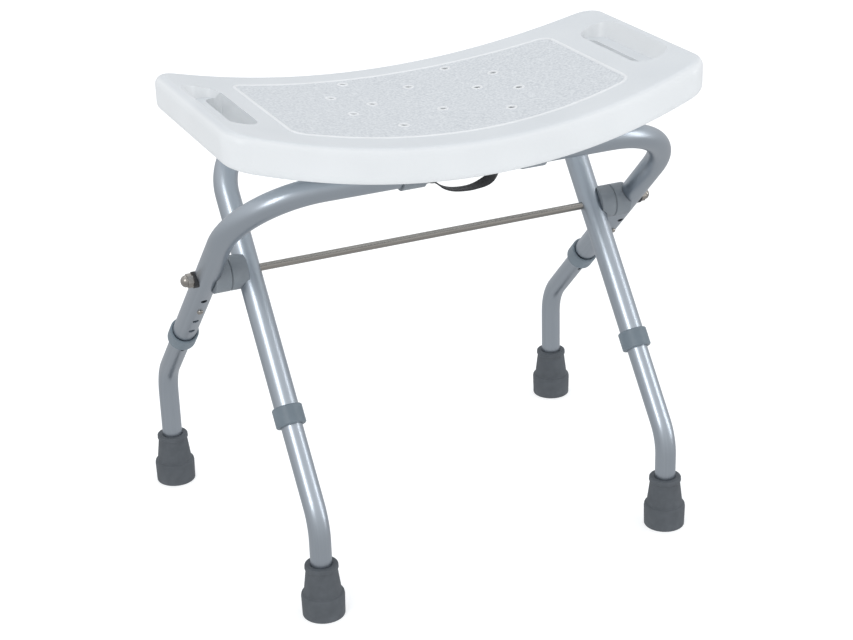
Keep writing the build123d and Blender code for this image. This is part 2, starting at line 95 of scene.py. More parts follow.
def linear(colour: str) -> tuple[float, float, float, float]:
    """Turn an sRGB hex colour into linear RGBA.

    Args:
        colour: Hex digits with a leading #.

    Returns:
        Linear red, green, blue and a full alpha.
    """
    parts = [int(colour[i : i + 2], 16) / 255 for i in (1, 3, 5)]
    low_end, knee, scale = 0.04045, 0.055, 12.92
    red, green, blue = (
        p / scale if p <= low_end else ((p + knee) / (1 + knee)) ** 2.4 for p in parts
    )
    return (red, green, blue, 1.0)


def per_metre(size_mm: float) -> float:
    """Turn the size of one grain or thread in mm into a texture scale on metres."""
    return 1.0 / (size_mm * MM)


def add_node(
    tree: Tree,
    kind: str,
    settings: dict[str, Any] | None = None,
    inputs: dict[Any, Any] | Sequence[Any] = (),
) -> Node:
    """Add one node with its settings, and values or links on its inputs.

    Args:
        tree: Shader, world or geometry tree that takes the node.
        kind: Blender's name of the node type.
        settings: Properties of the node itself.
        inputs: Values by input name or number, or in the inputs' own order. A socket, or the
            first output of a node, is linked.

    Returns:
        The new node.
    """
    node = tree.nodes.new(kind)
    for name, value in (settings or {}).items():
        setattr(node, name, value)
    pairs = inputs.items() if isinstance(inputs, dict) else enumerate(inputs)
    for name, value in pairs:
        source = value.outputs[0] if isinstance(value, Node) else value
        if isinstance(source, Socket):
            tree.links.new(source, node.inputs[name])
        else:
            node.inputs[name].default_value = source
    return node


@dataclass(frozen=True)
class Finish:
    """One real material with the surface its making leaves.

    Attributes:
        name: Material name, the common name and how it was made.
        colour: Mean colour as sRGB hex.
        roughness: Mean roughness.
        metallic: 1 for a metal.
        ior: Refractive index, unused on a metal.
    """

    name: str
    colour: str
    roughness: float
    metallic: float = 0.0
    ior: float = 1.5

    def make(self) -> bpy.types.Material:
        """Build the material.

        Returns:
            A material whose shader is linked to its output.
        """
        material = bpy.data.materials.new(self.name)
        material.use_nodes = True
        tree = material.node_tree
        tree.nodes.clear()
        shader = add_node(tree, "ShaderNodeBsdfPrincipled")
        shader.inputs["Base Color"].default_value = linear(self.colour)
        shader.inputs["Roughness"].default_value = self.roughness
        shader.inputs["Metallic"].default_value = self.metallic
        if not self.metallic:
            shader.inputs["IOR"].default_value = self.ior
        add_node(tree, "ShaderNodeOutputMaterial", inputs={"Surface": shader.outputs[0]})
        self.detail(tree, shader)
        return material

    def detail(self, tree: Tree, shader: Node) -> None:
        """Add the surface pattern; each finish has its own."""


@dataclass(frozen=True)
class BlowMouldedPolyethylene(Finish):
    """White HDPE, blown against a steel mould.

    The skirt copies a smooth mould, with a faint orange peel. The mat panel copies an etched
    pebble that scatters light and is finely speckled; its greyer colour is partly that etch and
    partly painted shade. Faces that look up take a darker copy of the skin: painted shade.
    """

    # The mat's greyer colours are partly its etch and partly painted shade.
    mat_etch_and_shade_colour: str = "#D5D9DC"
    mat_etch_and_shade_dark: str = "#BABFC4"
    clean: str = "#E0E3E5"
    # Darker colours for the faces that look up: painted shade.
    top_painted_shade_dark: str = "#C7CCD0"
    top_painted_shade_pale: str = "#D2D6D9"
    mat_half_length: float = 181.7
    mat_half_depth: float = 108.5
    mat_bow: float = 18.7
    mat_corner: float = 16.0
    mat_middle: float = -28.0
    seat_middle_height: float = 470.0
    dish_radius: float = 825.0
    mat_skin: float = 0.8
    mat_dulling: float = 0.18
    pebble: float = 3.2
    fleck: float = 2.56
    patch: float = 60.0
    peel: float = 5.0
    peel_share: float = 0.12
    cell_share: float = 0.8
    relief: float = 0.7

    def mat_mask(self, tree: Tree, point: Socket) -> Node:
        """Find the mat panel on the seat's top.

        Args:
            tree: The material's tree.
            point: Place on the piece in metres.

        Returns:
            A node that gives 1 on the mat and 0 off it.
        """
        half, corner = self.mat_half_length * MM, self.mat_corner * MM
        x, y, z = add_node(tree, SPLIT, inputs=(point,)).outputs
        across = add_node(tree, MATH, {"operation": "ABSOLUTE"}, (x,))
        share = add_node(tree, MATH, {"operation": "DIVIDE"}, (x, half))
        squared = add_node(tree, MATH, {"operation": "POWER"}, (share, 2.0))
        bowed = add_node(tree, MATH, {"operation": "MULTIPLY"}, (squared, self.mat_bow * MM))
        full = self.mat_half_depth * MM
        half_depth = add_node(tree, MATH, {"operation": "SUBTRACT"}, (full, bowed))
        moved = add_node(tree, MATH, {"operation": "SUBTRACT"}, (y, self.mat_middle * MM))
        depth = add_node(tree, MATH, {"operation": "ABSOLUTE"}, (moved,))
        past_x = add_node(tree, MATH, {"operation": "SUBTRACT"}, (across, half - corner))
        beyond = add_node(tree, MATH, {"operation": "SUBTRACT"}, (depth, half_depth))
        past_y = add_node(tree, MATH, {"operation": "ADD"}, (beyond, corner))
        out_x = add_node(tree, MATH, {"operation": "MAXIMUM"}, (past_x, 0.0))
        out_y = add_node(tree, MATH, {"operation": "MAXIMUM"}, (past_y, 0.0))
        square_x = add_node(tree, MATH, {"operation": "POWER"}, (out_x, 2.0))
        square_y = add_node(tree, MATH, {"operation": "POWER"}, (out_y, 2.0))
        both = add_node(tree, MATH, {"operation": "ADD"}, (square_x, square_y))
        reach = add_node(tree, MATH, {"operation": "SQRT"}, (both,))
        inside = add_node(tree, MATH, {"operation": "LESS_THAN"}, (reach, corner))
        x_squared = add_node(tree, MATH, {"operation": "POWER"}, (x, 2.0))
        radius_squared = (self.dish_radius * MM) ** 2
        chord = add_node(tree, MATH, {"operation": "SUBTRACT"}, (radius_squared, x_squared))
        drop = add_node(tree, MATH, {"operation": "SQRT"}, (chord,))
        centre = (self.seat_middle_height + self.dish_radius) * MM
        top = add_node(tree, MATH, {"operation": "SUBTRACT"}, (centre, drop))
        off = add_node(tree, MATH, {"operation": "SUBTRACT"}, (z, top))
        below = add_node(tree, MATH, {"operation": "ABSOLUTE"}, (off,))
        on_top = add_node(tree, MATH, {"operation": "LESS_THAN"}, (below, self.mat_skin * MM))
        return add_node(tree, MATH, {"operation": "MULTIPLY"}, (inside, on_top))

    def detail(self, tree: Tree, shader: Node) -> None:
        """Mask the pebble to the mat and leave the orange peel on the rest.

        Args:
            tree: The material's tree.
            shader: Its principled shader.
        """
        point = add_node(tree, COORDINATES).outputs["Object"]
        mask = self.mat_mask(tree, point)
        cell = {"Vector": point, "Scale": per_metre(self.pebble), "Randomness": 1.0}
        cells = add_node(tree, "ShaderNodeTexVoronoi", {"feature": "SMOOTH_F1"}, cell)
        fleck = {"Vector": point, "Scale": per_metre(self.fleck), "Detail": 3.0}
        speckle = add_node(tree, NOISE, inputs=fleck)
        spread = {"Value": speckle, "From Min": 0.3, "From Max": 0.7}
        shade = add_node(tree, MAP_RANGE, inputs=spread)
        # Mat colours: partly the etch's own tone, partly painted shade.
        ends = {0: shade, 6: linear(self.mat_etch_and_shade_dark), 7: linear(self.mat_etch_and_shade_colour)}
        mat = add_node(tree, MIX, COLOURS, ends).outputs[MIXED_COLOUR]
        patch = {"Vector": point, "Scale": per_metre(self.patch), "Detail": 1.0}
        cloud = add_node(tree, NOISE, inputs=patch)
        ends = {0: cloud, 6: linear(self.colour), 7: linear(self.clean)}
        skirt = add_node(tree, MIX, COLOURS, ends).outputs[MIXED_COLOUR]
        # A darker copy of the skin colour for the top: painted shade.
        ends = {0: cloud, 6: linear(self.top_painted_shade_dark), 7: linear(self.top_painted_shade_pale)}
        top = add_node(tree, MIX, COLOURS, ends).outputs[MIXED_COLOUR]
        normal = add_node(tree, "ShaderNodeNewGeometry").outputs["Normal"]
        upward = add_node(tree, SPLIT, inputs=(normal,)).outputs[2]
        # Faces that look up take the painted shade copy of the skin.
        turn = {"Value": upward, "From Min": 0.7, "From Max": 0.95}
        upward_painted_shade = add_node(tree, MAP_RANGE, inputs=turn)
        skin = add_node(tree, MIX, COLOURS, {0: upward_painted_shade, 6: skirt, 7: top}).outputs[MIXED_COLOUR]
        paint = add_node(tree, MIX, COLOURS, {0: mask, 6: skin, 7: mat})
        tree.links.new(paint.outputs[MIXED_COLOUR], shader.inputs["Base Color"])
        duller = (mask, self.mat_dulling, self.roughness)
        rough = add_node(tree, MATH, {"operation": "MULTIPLY_ADD"}, duller)
        tree.links.new(rough.outputs[0], shader.inputs["Roughness"])
        skin_grain = {"Vector": point, "Scale": per_metre(self.peel), "Detail": 1.0}
        wave = add_node(tree, NOISE, inputs=skin_grain)
        peel = add_node(tree, MATH, {"operation": "MULTIPLY"}, (wave, self.peel_share))
        hills = add_node(tree, MATH, {"operation": "MULTIPLY"}, (cells, self.cell_share))
        pebble = add_node(tree, MATH, {"operation": "ADD"}, (hills, speckle))
        extra = add_node(tree, MATH, {"operation": "SUBTRACT"}, (pebble, peel))
        height = add_node(tree, MATH, {"operation": "MULTIPLY_ADD"}, (mask, extra, peel))
        relief = {"Height": height, "Distance": self.relief * MM, "Strength": 0.8}
        bump = add_node(tree, BUMP, inputs=relief)
        tree.links.new(bump.outputs[0], shader.inputs["Normal"])


@dataclass(frozen=True)
class PolishedPolyethyleneWithPaintedHighlight(Finish):
    """The same HDPE where the mould was polished: the bead and the drain rims.

    It is glossier than the etched mat. Its colour is painted whiter than the seat's top round
    it, a painted highlight that shows as a thin line of light.
    """

    # Both ends of the colour are whiter than the seat's top: painted highlight.
    pale: str = "#E2E5E7"
    cloud_size: float = 25.0
    ripple_size: float = 4.0
    ripple_depth: float = 0.1

    def detail(self, tree: Tree, shader: Node) -> None:
        """Vary tone and gloss slowly, as a polished mould does.

        Args:
            tree: The material's tree.
            shader: Its principled shader.
        """
        point = add_node(tree, COORDINATES).outputs["Object"]
        patch = {"Vector": point, "Scale": per_metre(self.cloud_size), "Detail": 2.0}
        cloud = add_node(tree, NOISE, inputs=patch)
        ends = {0: cloud, 6: linear(self.colour), 7: linear(self.pale)}
        colour = add_node(tree, MIX, COLOURS, ends).outputs[MIXED_COLOUR]
        tree.links.new(colour, shader.inputs["Base Color"])
        gloss = {"Value": cloud, "To Min": self.roughness - 0.04, "To Max": self.roughness + 0.04}
        rough = add_node(tree, MAP_RANGE, inputs=gloss)
        tree.links.new(rough.outputs[0], shader.inputs["Roughness"])
        ripple = {"Vector": point, "Scale": per_metre(self.ripple_size), "Detail": 1.0}
        wave = add_node(tree, NOISE, inputs=ripple)
        relief = {"Height": wave, "Distance": self.ripple_depth * MM, "Strength": 0.2}
        bump = add_node(tree, BUMP, inputs=relief)
        tree.links.new(bump.outputs[0], shader.inputs["Normal"])


@dataclass(frozen=True)
class AnodisedAluminium(Finish):
    """Extruded tube, etched and clear anodised.

    The etch leaves a soft satin that spreads reflections, and the die leaves faint lines
    along the legs.
    """

    die_line: float = 1.6
    smudge: float = 45.0
    legs_end: float = 0.30
    bends_start: float = 0.38
    etch_size: float = 1.5
    etch_depth: float = 0.05
    pale: str = "#B7BFC7"

    def detail(self, tree: Tree, shader: Node) -> None:
        """Vary the satin, and draw the die lines where the legs run straight.

        Args:
            tree: The material's tree.
            shader: Its principled shader.
        """
        point = add_node(tree, COORDINATES).outputs["Object"]
        x, _, z = add_node(tree, SPLIT, inputs=(point,)).outputs
        smear = {"Vector": point, "Scale": per_metre(self.smudge), "Detail": 3.0}
        smudge = add_node(tree, NOISE, inputs=smear)
        satin = {"Value": smudge, "To Min": self.roughness - 0.04, "To Max": self.roughness + 0.05}
        rough = add_node(tree, MAP_RANGE, inputs=satin)
        tree.links.new(rough.outputs[0], shader.inputs["Roughness"])
        side = add_node(tree, MATH, {"operation": "ABSOLUTE"}, (x,))
        die = {"W": side, "Scale": per_metre(self.die_line), "Detail": 2.0}
        lines = add_node(tree, NOISE, {"noise_dimensions": "1D"}, die)
        fade = {"Value": z, "From Min": self.legs_end, "From Max": self.bends_start,
                "To Min": 1.0, "To Max": 0.0}
        on_leg = add_node(tree, MAP_RANGE, inputs=fade)
        swing = add_node(tree, MATH, {"operation": "SUBTRACT"}, (lines, 0.5))
        drawn = add_node(tree, MATH, {"operation": "MULTIPLY_ADD"}, (swing, on_leg, 0.5))
        ends = {0: drawn, 6: linear(self.colour), 7: linear(self.pale)}
        colour = add_node(tree, MIX, COLOURS, ends).outputs[MIXED_COLOUR]
        tree.links.new(colour, shader.inputs["Base Color"])
        pits = {"Vector": point, "Scale": per_metre(self.etch_size), "Detail": 2.0}
        etch = add_node(tree, NOISE, inputs=pits)
        height = add_node(tree, MATH, {"operation": "ADD"}, (drawn, etch))
        relief = {"Height": height, "Distance": self.etch_depth * MM, "Strength": 0.25}
        bump = add_node(tree, BUMP, inputs=relief)
        tree.links.new(bump.outputs[0], shader.inputs["Normal"])


@dataclass(frozen=True)
class MouldedPolypropylene(Finish):
    """Injection moulded PP from a spark-eroded mould.

    The mould leaves a fine even grain and a soft low sheen, a little paler where handled.
    """

    grain_size: float = 1.8
    grain_depth: float = 0.2
    tone_size: float = 14.0
    pale: str = "#75818A"

    def detail(self, tree: Tree, shader: Node) -> None:
        """Add the eroded grain and a slow change of tone.

        Args:
            tree: The material's tree.
            shader: Its principled shader.
        """
        point = add_node(tree, COORDINATES).outputs["Object"]
        patch = {"Vector": point, "Scale": per_metre(self.tone_size), "Detail": 3.0}
        tone = add_node(tree, NOISE, inputs=patch)
        ends = {0: tone, 6: linear(self.colour), 7: linear(self.pale)}
        colour = add_node(tree, MIX, COLOURS, ends).outputs[MIXED_COLOUR]
        tree.links.new(colour, shader.inputs["Base Color"])
        spark = {"Vector": point, "Scale": per_metre(self.grain_size), "Detail": 3.0}
        grain = add_node(tree, NOISE, inputs=spark)
        sheen = {"Value": grain, "To Min": self.roughness - 0.06, "To Max": self.roughness + 0.08}
        rough = add_node(tree, MAP_RANGE, inputs=sheen)
        tree.links.new(rough.outputs[0], shader.inputs["Roughness"])
        relief = {"Height": grain, "Distance": self.grain_depth * MM, "Strength": 0.35}
        bump = add_node(tree, BUMP, inputs=relief)
        tree.links.new(bump.outputs[0], shader.inputs["Normal"])


@dataclass(frozen=True)
class MouldedRubber(Finish):
    """Grey thermoplastic rubber, moulded.

    It is matt with a dusty bloom, scuffed pale near the floor.
    """

    pale: str = "#5F646A"
    scuff_height: float = 14.0
    bloom_size: float = 9.0
    grain_size: float = 1.8
    grain_depth: float = 0.25

    def detail(self, tree: Tree, shader: Node) -> None:
        """Add bloom, grain and the scuffed lower edge.

        Args:
            tree: The material's tree.
            shader: Its principled shader.
        """
        point = add_node(tree, COORDINATES).outputs["Object"]
        height = add_node(tree, SPLIT, inputs=(point,)).outputs[2]
        dust = {"Vector": point, "Scale": per_metre(self.bloom_size), "Detail": 4.0}
        bloom = add_node(tree, NOISE, inputs=dust)
        top = self.scuff_height * MM
        rubbed = {"Value": height, "From Max": top, "To Min": 0.35, "To Max": 0.0}
        low = add_node(tree, MAP_RANGE, inputs=rubbed)
        scuff = add_node(tree, MATH, {"operation": "MULTIPLY"}, (low, bloom))
        worn = add_node(tree, MATH, {"operation": "MULTIPLY_ADD"}, (bloom, 0.7, scuff))
        ends = {0: worn, 6: linear(self.colour), 7: linear(self.pale)}
        colour = add_node(tree, MIX, COLOURS, ends).outputs[MIXED_COLOUR]
        tree.links.new(colour, shader.inputs["Base Color"])
        matt = {"Value": bloom, "To Min": self.roughness - 0.05, "To Max": self.roughness + 0.08}
        rough = add_node(tree, MAP_RANGE, inputs=matt)
        tree.links.new(rough.outputs[0], shader.inputs["Roughness"])
        skin = {"Vector": point, "Scale": per_metre(self.grain_size), "Detail": 3.0}
        grain = add_node(tree, NOISE, inputs=skin)
        relief = {"Height": grain, "Distance": self.grain_depth * MM, "Strength": 0.4}
        bump = add_node(tree, BUMP, inputs=relief)
        tree.links.new(bump.outputs[0], shader.inputs["Normal"])


@dataclass(frozen=True)
class DrawnStainlessSteel(Finish):
    """Stainless rod, drawn bright, with pressed dome nuts and screws.

    Drawing leaves fine lengthwise streaks and sharp, warm-grey reflections.
    """

    streak: float = 1.2
    streak_depth: float = 0.05
    pale: str = "#B3AFA9"

    def detail(self, tree: Tree, shader: Node) -> None:
        """Stretch a noise along the rod, and vary the polish with it.

        Args:
            tree: The material's tree.
            shader: Its principled shader.
        """
        point = add_node(tree, COORDINATES).outputs["Object"]
        pull = {"Vector": point, "Scale": (0.02, 1.0, 1.0)}
        stretched = add_node(tree, "ShaderNodeMapping", inputs=pull)
        line = {"Vector": stretched, "Scale": per_metre(self.streak), "Detail": 2.0}
        streaks = add_node(tree, NOISE, inputs=line)
        polish = {"Value": streaks, "To Min": self.roughness - 0.06, "To Max": self.roughness + 0.1}
        rough = add_node(tree, MAP_RANGE, inputs=polish)
        tree.links.new(rough.outputs[0], shader.inputs["Roughness"])
        ends = {0: streaks, 6: linear(self.colour), 7: linear(self.pale)}
        colour = add_node(tree, MIX, COLOURS, ends).outputs[MIXED_COLOUR]
        tree.links.new(colour, shader.inputs["Base Color"])
        relief = {"Height": streaks, "Distance": self.streak_depth * MM, "Strength": 0.2}
        bump = add_node(tree, BUMP, inputs=relief)
        tree.links.new(bump.outputs[0], shader.inputs["Normal"])


@dataclass(frozen=True)
class NylonWebbing(Finish):
    """Black nylon webbing, woven flat.

    The weave shows as a rib of small raised threads with a weak sheen along them. Threads are
    1.4 mm apart, coarser than real ones, so that they show.
    """

    thread: float = 1.4
    thread_depth: float = 0.35
    pale: str = "#2C2D31"

    def detail(self, tree: Tree, shader: Node) -> None:
        """Draw the weave on the strap's own map, which is in metres.

        Args:
            tree: The material's tree.
            shader: Its principled shader.
        """
        place = add_node(tree, "ShaderNodeUVMap", {"uv_map": "Weave"})
        across, along, _ = add_node(tree, SPLIT, inputs=(place,)).outputs
        turn = 2.0 * math.pi * per_metre(self.thread)
        warp_turn = add_node(tree, MATH, {"operation": "MULTIPLY"}, (across, turn))
        weft_turn = add_node(tree, MATH, {"operation": "MULTIPLY"}, (along, turn))
        warp = add_node(tree, MATH, {"operation": "SINE"}, (warp_turn,))
        weft = add_node(tree, MATH, {"operation": "SINE"}, (weft_turn,))
        crossed = add_node(tree, MATH, {"operation": "MULTIPLY"}, (warp, weft))
        height = add_node(tree, MATH, {"operation": "MULTIPLY_ADD"}, (crossed, 0.5, 0.5))
        ends = {0: height, 6: linear(self.colour), 7: linear(self.pale)}
        colour = add_node(tree, MIX, COLOURS, ends).outputs[MIXED_COLOUR]
        tree.links.new(colour, shader.inputs["Base Color"])
        shader.inputs["Sheen Weight"].default_value = 0.25
        relief = {"Height": height, "Distance": self.thread_depth * MM, "Strength": 0.7}
        bump = add_node(tree, BUMP, inputs=relief)
        tree.links.new(bump.outputs[0], shader.inputs["Normal"])


FINISHES: dict[Slot, Finish] = {
    Slot.SEAT: BlowMouldedPolyethylene("HDPE_blow_moulded_painted_shade_top", "#D8DBDD", 0.36, ior=1.53),
    Slot.TUBE: AnodisedAluminium("Aluminium_satin_anodised", "#ADB5BD", 0.33, 1.0),
    Slot.COLLAR: MouldedPolypropylene("Polypropylene_blue_grey", "#616D76", 0.42, ior=1.49),
    Slot.FITTING: MouldedPolypropylene(
        "Polypropylene_grey", "#6F767D", 0.45, ior=1.49, pale="#858C92"
    ),
    Slot.FOOT: MouldedRubber("Rubber_moulded_grey", "#43484D", 0.7, ior=1.52),
    Slot.STEEL: DrawnStainlessSteel("Stainless_steel_drawn", "#97938E", 0.22, 1.0),
    Slot.WASHER: MouldedPolypropylene(
        "Nylon_washer_black", "#17181A", 0.5, ior=1.53, pale="#2A2B2E"
    ),
    Slot.STRAP: NylonWebbing("Nylon_webbing_black", "#0D0D10", 0.78, ior=1.53),
}

# Whiter than the seat's top round it: painted highlight on the bead and drain rims.
RIB_FINISH_PAINTED_HIGHLIGHT = PolishedPolyethyleneWithPaintedHighlight("HDPE_polished_rib_painted_highlight", "#D6D9DB", 0.3, ior=1.53)

NODE_STARTS: dict[Slot, tuple[str, ...]] = {
    Slot.SEAT: ("seat_shell",),
    Slot.TUBE: ("inner_frame_tube", "outer_frame_tube", "lower_leg"),
    Slot.COLLAR: ("collar",),
    Slot.FITTING: ("pivot_spacer", "front_clip_left", "front_clip_right", "rear_saddle_left",
                   "rear_saddle_right"),
    Slot.FOOT: ("rubber_foot",),
    Slot.STEEL: ("pivot_rod", "dome_nut", "snap_button", "snap_spring", "foot_washer",
                 "strap_screws", "front_clip_screws", "rear_saddle_screws"),
    Slot.WASHER: ("saddle_washer",),
    Slot.STRAP: ("pull_strap",),
}


def link_new(name: str, mesh: bpy.types.Mesh) -> bpy.types.Object:
    """Make an object of a mesh and put it in the scene.

    Args:
        name: Name of the new object.
        mesh: Its mesh, with its place in it.

    Returns:
        The object, linked to the scene.
    """
    piece = bpy.data.objects.new(name, mesh)
    bpy.context.scene.collection.objects.link(piece)
    return piece


def join_body(piece: bpy.types.Object, body: str, slot: Slot, *replaced: str) -> bpy.types.Object:
    """Tie a finished piece to its body and hide the nodes it stands for.

    Args:
        piece: Finished mesh object at the origin.
        body: CAD body that carries it.
        slot: Material slot it takes its finish from; not used.
        replaced: CAD nodes that it hides.

    Returns:
        The same piece.
    """
    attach(piece, body)
    if replaced:
        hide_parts(*replaced)
    LOG.info("%s: %d faces on %s", piece.name, len(piece.data.polygons), body)
    return piece


class Workshop:
    """Holds the materials, one for each slot."""

    def __init__(self) -> None:
        """Make every material once."""
        self.materials = {slot: finish.make() for slot, finish in FINISHES.items()}
        self.rib = RIB_FINISH_PAINTED_HIGHLIGHT.make()

    def dress(self, piece: bpy.types.Object, slot: Slot) -> None:
        """Give a piece one material."""
        piece.data.materials.clear()
        piece.data.materials.append(self.materials[slot])

    def dress_nodes(self) -> None:
        """Give every CAD node the material of its slot."""
        for name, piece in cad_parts.items():
            slot = next(s for s, starts in NODE_STARTS.items() if name.startswith(starts))
            self.dress(piece, slot)
            LOG.info("%s: %s", name, slot.value)


class TreeKit:
    """A geometry tree with named inputs, run once and turned into a plain mesh."""

    def __init__(self, name: str, sizes: dict[str, float]) -> None:
        """Start a tree.

        Args:
            name: Name of the tree.
            sizes: Named size inputs and their values in metres.
        """
        self.tree = bpy.data.node_groups.new(name, "GeometryNodeTree")
        face = self.tree.interface
        face.new_socket(name="Geometry", in_out="INPUT", socket_type="NodeSocketGeometry")
        self.values: dict[str, Any] = {}
        for size_name, value in sizes.items():
            socket = face.new_socket(name=size_name, in_out="INPUT", socket_type="NodeSocketFloat")
            self.values[socket.identifier] = value
        finish = face.new_socket(name="Finish", in_out="INPUT", socket_type="NodeSocketMaterial")
        self.finish_id = finish.identifier
        face.new_socket(name="Geometry", in_out="OUTPUT", socket_type="NodeSocketGeometry")
        self.start = add_node(self.tree, "NodeGroupInput").outputs

    def drape(self, geometry: Socket) -> Socket:
        """Lift flat geometry on to the seat's dished top, by the input named Dish radius.

        Args:
            geometry: Curve or points on a level plane.

        Returns:
            The same geometry on the dish.
        """
        tree, radius = self.tree, self.start["Dish radius"]
        place = add_node(tree, "GeometryNodeInputPosition")
        across = add_node(tree, SPLIT, inputs=(place,)).outputs[0]
        whole = add_node(tree, MATH, {"operation": "MULTIPLY"}, (radius, radius))
        part = add_node(tree, MATH, {"operation": "MULTIPLY"}, (across, across))
        chord = add_node(tree, MATH, {"operation": "SUBTRACT"}, (whole, part))
        root = add_node(tree, MATH, {"operation": "SQRT"}, (chord,))
        rise = add_node(tree, MATH, {"operation": "SUBTRACT"}, (radius, root))
        lift = add_node(tree, JOIN, inputs={2: rise})
        moved = {"Geometry": geometry, "Offset": lift}
        return add_node(tree, "GeometryNodeSetPosition", inputs=moved).outputs[0]

    def round_bar(self, path: Socket, radius: Socket, sides: int) -> Socket:
        """Run a round section along a curve.

        Args:
            path: Curve to follow.
            radius: Radius of the section.
            sides: Points round the section.

        Returns:
            The mesh, smooth shaded.
        """
        section = add_node(
            self.tree, "GeometryNodeCurvePrimitiveCircle",
            inputs={"Resolution": sides, "Radius": radius},
        ).outputs[0]
        swept = add_node(
            self.tree, "GeometryNodeCurveToMesh", inputs={"Curve": path, "Profile Curve": section}
        ).outputs[0]
        return add_node(
            self.tree, "GeometryNodeSetShadeSmooth", inputs={"Geometry": swept}
        ).outputs[0]

    def run(self, source: bpy.types.Mesh, name: str, material: bpy.types.Material,
            geometry: Socket) -> bpy.types.Object:
        """Close the tree, evaluate it on a source mesh and keep the plain result.

        Args:
            source: Mesh that the tree starts from.
            name: Name of the finished piece.
            material: Its finish.
            geometry: Last socket of the tree's own work.

        Returns:
            The finished piece.
        """
        real = add_node(
            self.tree, "GeometryNodeRealizeInstances", inputs={"Geometry": geometry}
        ).outputs[0]
        dressed = add_node(
            self.tree, "GeometryNodeSetMaterial",
            inputs={"Geometry": real, "Material": self.start["Finish"]},
        ).outputs[0]
        add_node(self.tree, "NodeGroupOutput", inputs={0: dressed})
        carrier = link_new(f"{name}_source", source)
        modifier = carrier.modifiers.new(name, "NODES")
        modifier.node_group = self.tree
        for identifier, value in self.values.items():
            modifier[identifier] = value
        modifier[self.finish_id] = material
        graph = bpy.context.evaluated_depsgraph_get()
        mesh = bpy.data.meshes.new_from_object(carrier.evaluated_get(graph))
        mesh.name = name
        bpy.data.objects.remove(carrier)
        return link_new(name, mesh)


